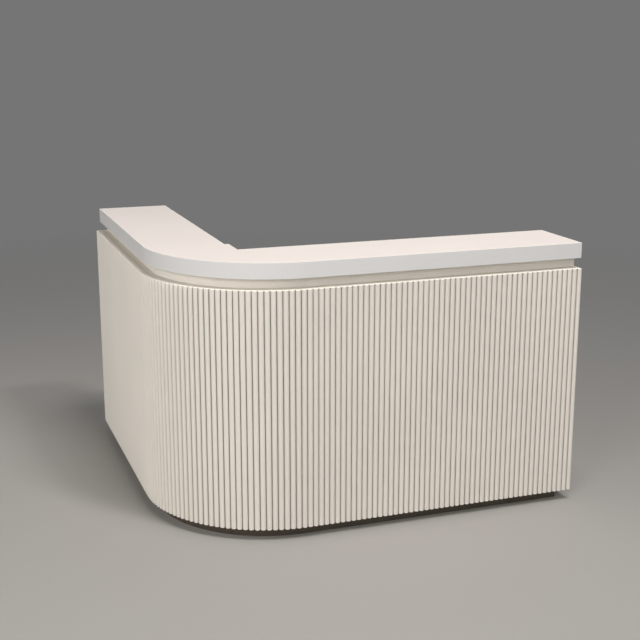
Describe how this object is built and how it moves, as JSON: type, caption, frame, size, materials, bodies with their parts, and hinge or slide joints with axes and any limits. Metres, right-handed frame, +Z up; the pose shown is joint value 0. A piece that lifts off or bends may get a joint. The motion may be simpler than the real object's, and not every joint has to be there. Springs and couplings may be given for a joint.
{
  "type": "checkout counter",
  "caption": "L-shaped retail checkout counter with a fluted radiused front, pale customer slab, recessed neck and plinth, staff worktop, drawers, till drawer and cupboard.",
  "frame": {"origin": "centre of the rectangular footprint, on the floor", "axes": "+X along the front run away from the radiused corner, +Y from the customer front to the staff side, +Z up"},
  "size_m": [1.62, 1.5, 1.05],
  "materials": {
    "cladding": "warm cream satin lacquer on fibreboard",
    "slab": "pale solid-surface laminate, matt",
    "worktop": "pale laminate, matt",
    "plinth": "dark brown laminate, satin",
    "fronts": "warm cream satin lacquer on fibreboard",
    "carcass": "melamine-faced board, pale",
    "drawer_board": "clear-lacquered birch board",
    "black_plastic": "moulded, fine texture",
    "handles": "brushed",
    "zinc_steel": "bright zinc plated",
    "chrome_parts": "nickel plated"
  },
  "bodies": {
    "counter": {"front_fluted_panel": "cladding", "corner_fluted_panel": "cladding", "return_fluted_panel": "cladding", "front_core_panel": "carcass", "corner_core_panel": "carcass", "return_core_panel": "carcass", "front_neck_rail": "cladding", "corner_neck_rail": "cladding", "return_neck_rail": "cladding", "inner_neck_rails": "cladding", "front_slab": "slab", "return_slab": "slab", "top_deck": "carcass", "front_worktop": "worktop", "return_worktop": "worktop", "base_deck": "carcass", "right_end_panel": "cladding", "return_end_panel": "cladding", "pedestal_side_panel": "carcass", "corner_side_panel": "carcass", "bay_divider": "carcass", "shelf_dividers": "carcass", "bay_shelf": "carcass", "cupboard_shelf": "carcass", "shelf_pins": "zinc_steel", "front_plinth": "plinth", "corner_plinth": "plinth", "return_plinth": "plinth", "inner_plinths": "plinth", "levelling_feet": "black_plastic", "floor_anchors": "zinc_steel", "cable_grommet": "black_plastic", "fixed_runners": "zinc_steel", "till_hangers": "carcass", "lock_catch": "zinc_steel", "hinge_fixed_leaves": "chrome_parts", "hinge_pins": "chrome_parts"},
    "top_drawer": {"top_drawer_front": "fronts", "top_drawer_box": "drawer_board", "top_drawer_handle": "handles", "top_drawer_runners": "zinc_steel", "lock_housing": "chrome_parts"},
    "middle_drawer": {"middle_drawer_front": "fronts", "middle_drawer_box": "drawer_board", "middle_drawer_handle": "handles", "middle_drawer_runners": "zinc_steel"},
    "bottom_drawer": {"bottom_drawer_front": "fronts", "bottom_drawer_box": "drawer_board", "bottom_drawer_handle": "handles", "bottom_drawer_runners": "zinc_steel"},
    "till_drawer": {"till_drawer_front": "fronts", "till_drawer_box": "drawer_board", "till_drawer_handle": "handles", "till_drawer_runners": "zinc_steel", "coin_tray": "black_plastic"},
    "top_lock": {"lock_plug": "chrome_parts"},
    "cupboard_door": {"cupboard_door": "fronts", "door_handle": "handles", "hinge_door_leaves": "chrome_parts"}
  },
  "joints": [
    {"name": "top_drawer_slide", "type": "slide", "parent": "counter", "child": "top_drawer", "axis": [0, 1, 0], "range_m": [0, 0.4]},
    {"name": "middle_drawer_slide", "type": "slide", "parent": "counter", "child": "middle_drawer", "axis": [0, 1, 0], "range_m": [0, 0.4]},
    {"name": "bottom_drawer_slide", "type": "slide", "parent": "counter", "child": "bottom_drawer", "axis": [0, 1, 0], "range_m": [0, 0.4]},
    {"name": "till_drawer_slide", "type": "slide", "parent": "counter", "child": "till_drawer", "axis": [0, 1, 0], "range_m": [0, 0.4]},
    {"name": "top_lock_turn", "type": "hinge", "parent": "top_drawer", "child": "top_lock", "pos_m": [0.581, -0.17, 0.697], "axis": [0, -1, 0], "range_deg": [0, 90]},
    {"name": "cupboard_door_hinge", "type": "hinge", "parent": "counter", "child": "cupboard_door", "pos_m": [-0.208, 0.731, 0.393], "axis": [0, 0, 1], "range_deg": [0, 110]}
  ]
}
